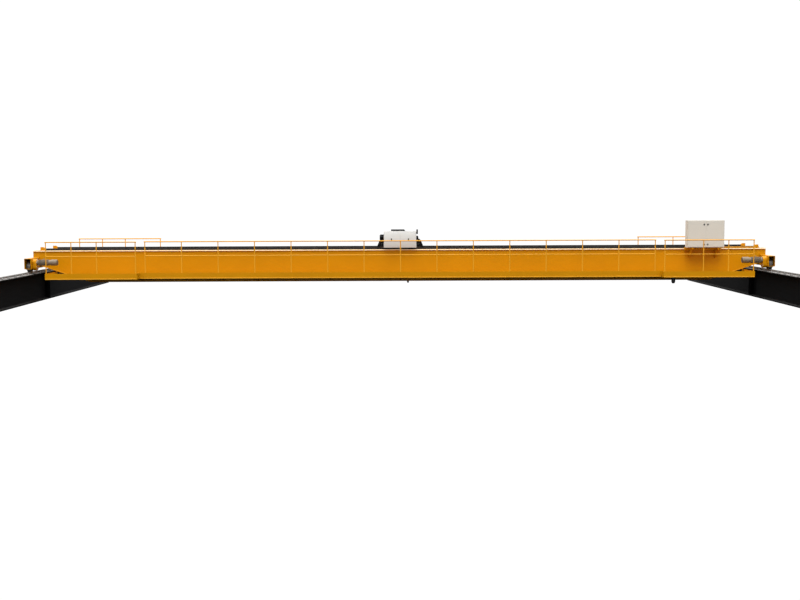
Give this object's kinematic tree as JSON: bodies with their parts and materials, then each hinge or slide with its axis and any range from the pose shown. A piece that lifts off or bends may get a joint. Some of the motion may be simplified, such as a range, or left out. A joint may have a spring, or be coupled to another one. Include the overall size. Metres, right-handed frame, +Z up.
{
  "type": "double girder overhead crane on runway beams",
  "caption": "Overhead travelling crane with two box girders, gangway, trolley hoist and hook, running on two runway beams.",
  "frame": {"origin": "on the underside of the runway beams, in the middle of their footprint", "axes": "+X along the span to the right, -Y towards the gangway side, +Z up"},
  "size_m": [23.95, 16, 2.535],
  "materials": {
    "runway_steel": "black paint on rolled steel",
    "rail_steel": "rail steel with a worn head",
    "buffer_rubber": "moulded rubber",
    "crane_yellow": "yellow-orange enamel on welded plate",
    "drive_grey": "light grey enamel on cast housings",
    "trolley_rail_steel": "dark mill-scaled rail steel",
    "cabinet_grey": "light grey powder coat on sheet steel",
    "black_plastic": "black moulded plastic",
    "wheel_iron": "cast iron with a bright tread",
    "hoist_black": "black enamel on welded steel",
    "drum_steel": "turned steel, greased",
    "box_white": "white powder coat on sheet steel",
    "rope_steel": "greased wire rope",
    "hook_steel": "forged steel, dark paint"
  },
  "bodies": {
    "runway": {"runway_beam_left": "runway_steel", "runway_beam_right": "runway_steel", "runway_rails": "rail_steel", "runway_end_stops": "runway_steel", "runway_buffers": "buffer_rubber"},
    "bridge": {"end_carriage_left": "crane_yellow", "end_carriage_right": "crane_yellow", "wheel_bearings": "crane_yellow", "travel_gearboxes": "crane_yellow", "travel_motors": "drive_grey", "girder_top_flanges": "crane_yellow", "girder_bottom_flanges": "crane_yellow", "girder_webs": "crane_yellow", "girder_end_plates": "crane_yellow", "trolley_rails": "trolley_rail_steel", "trolley_rail_stops": "trolley_rail_steel", "gangway_floor": "crane_yellow", "front_platform_floors": "crane_yellow", "rear_platform_floors": "crane_yellow", "gangway_toe_board": "crane_yellow", "platform_toe_boards": "crane_yellow", "gangway_railing": "crane_yellow", "front_railing_left": "crane_yellow", "front_railing_right": "crane_yellow", "rear_railing_left": "crane_yellow", "rear_railing_right": "crane_yellow", "cabinet_body": "cabinet_grey", "cabinet_brackets": "crane_yellow", "cable_duct": "crane_yellow", "warning_horn": "black_plastic"},
    "cabinet_door_left": {"cabinet_door_left": "cabinet_grey"},
    "cabinet_door_right": {"cabinet_door_right": "cabinet_grey"},
    "wheel_front_left": {"wheel_front_left": "wheel_iron"},
    "wheel_front_right": {"wheel_front_right": "wheel_iron"},
    "wheel_rear_left": {"wheel_rear_left": "wheel_iron"},
    "wheel_rear_right": {"wheel_rear_right": "wheel_iron"},
    "trolley": {"trolley_truck_front": "hoist_black", "trolley_truck_rear": "hoist_black", "trolley_cross_frame": "hoist_black", "upper_sheave": "wheel_iron", "hoist_frame": "hoist_black", "hoist_drum": "drum_steel", "hoist_motor": "hoist_black", "hoist_gearbox": "hoist_black", "hoist_limit_switch": "black_plastic", "hoist_hood": "hoist_black", "trolley_switch_box": "box_white", "hoist_ropes": "rope_steel"},
    "trolley_wheelset_left": {"trolley_wheelset_left": "wheel_iron"},
    "trolley_wheelset_right": {"trolley_wheelset_right": "wheel_iron"},
    "hook_block": {"hook_block": "crane_yellow", "block_sheaves": "wheel_iron"},
    "hook": {"hook": "hook_steel"}
  },
  "joints": [
    {"name": "bridge_travel", "type": "slide", "parent": "runway", "child": "bridge", "axis": [0, 1, 0], "range_m": [-5.91, 5.91]},
    {"name": "trolley_travel", "type": "slide", "parent": "bridge", "child": "trolley", "axis": [1, 0, 0], "range_m": [-10.81, 10.81]},
    {"name": "hook_lift", "type": "slide", "parent": "trolley", "child": "hook_block", "axis": [0, 0, -1], "range_m": [0, 6], "deforming": ["hoist_ropes"]},
    {"name": "hook_swivel", "type": "hinge", "parent": "hook_block", "child": "hook", "pos_m": [0.26, 0, 0.617], "axis": [0, 0, 1], "continuous": true},
    {"name": "cabinet_door_left", "type": "hinge", "parent": "bridge", "child": "cabinet_door_left", "pos_m": [9.261, -1.299, 1.658], "axis": [0, 0, -1], "range_deg": [0, 105]},
    {"name": "cabinet_door_right", "type": "hinge", "parent": "bridge", "child": "cabinet_door_right", "pos_m": [10.435, -1.299, 1.658], "axis": [0, 0, 1], "range_deg": [0, 105]},
    {"name": "wheel_front_left_spin", "type": "hinge", "parent": "bridge", "child": "wheel_front_left", "pos_m": [-11.825, -1.575, 1.1325], "axis": [1, 0, 0], "continuous": true},
    {"name": "wheel_front_right_spin", "type": "hinge", "parent": "bridge", "child": "wheel_front_right", "pos_m": [11.825, -1.575, 1.1325], "axis": [1, 0, 0], "continuous": true},
    {"name": "wheel_rear_left_spin", "type": "hinge", "parent": "bridge", "child": "wheel_rear_left", "pos_m": [-11.825, 1.575, 1.1325], "axis": [1, 0, 0], "continuous": true},
    {"name": "wheel_rear_right_spin", "type": "hinge", "parent": "bridge", "child": "wheel_rear_right", "pos_m": [11.825, 1.575, 1.1325], "axis": [1, 0, 0], "continuous": true},
    {"name": "trolley_wheelset_left_spin", "type": "hinge", "parent": "trolley", "child": "trolley_wheelset_left", "pos_m": [-0.58, 0, 1.788], "axis": [0, 1, 0], "continuous": true},
    {"name": "trolley_wheelset_right_spin", "type": "hinge", "parent": "trolley", "child": "trolley_wheelset_right", "pos_m": [0.58, 0, 1.788], "axis": [0, 1, 0], "continuous": true}
  ],
  "couplings": [
    {"joint": "wheel_front_left_spin", "follows": "bridge_travel", "rad_per_m": -6.3492},
    {"joint": "wheel_front_right_spin", "follows": "bridge_travel", "rad_per_m": -6.3492},
    {"joint": "wheel_rear_left_spin", "follows": "bridge_travel", "rad_per_m": -6.3492},
    {"joint": "wheel_rear_right_spin", "follows": "bridge_travel", "rad_per_m": -6.3492},
    {"joint": "trolley_wheelset_left_spin", "follows": "trolley_travel", "rad_per_m": 10},
    {"joint": "trolley_wheelset_right_spin", "follows": "trolley_travel", "rad_per_m": 10}
  ]
}
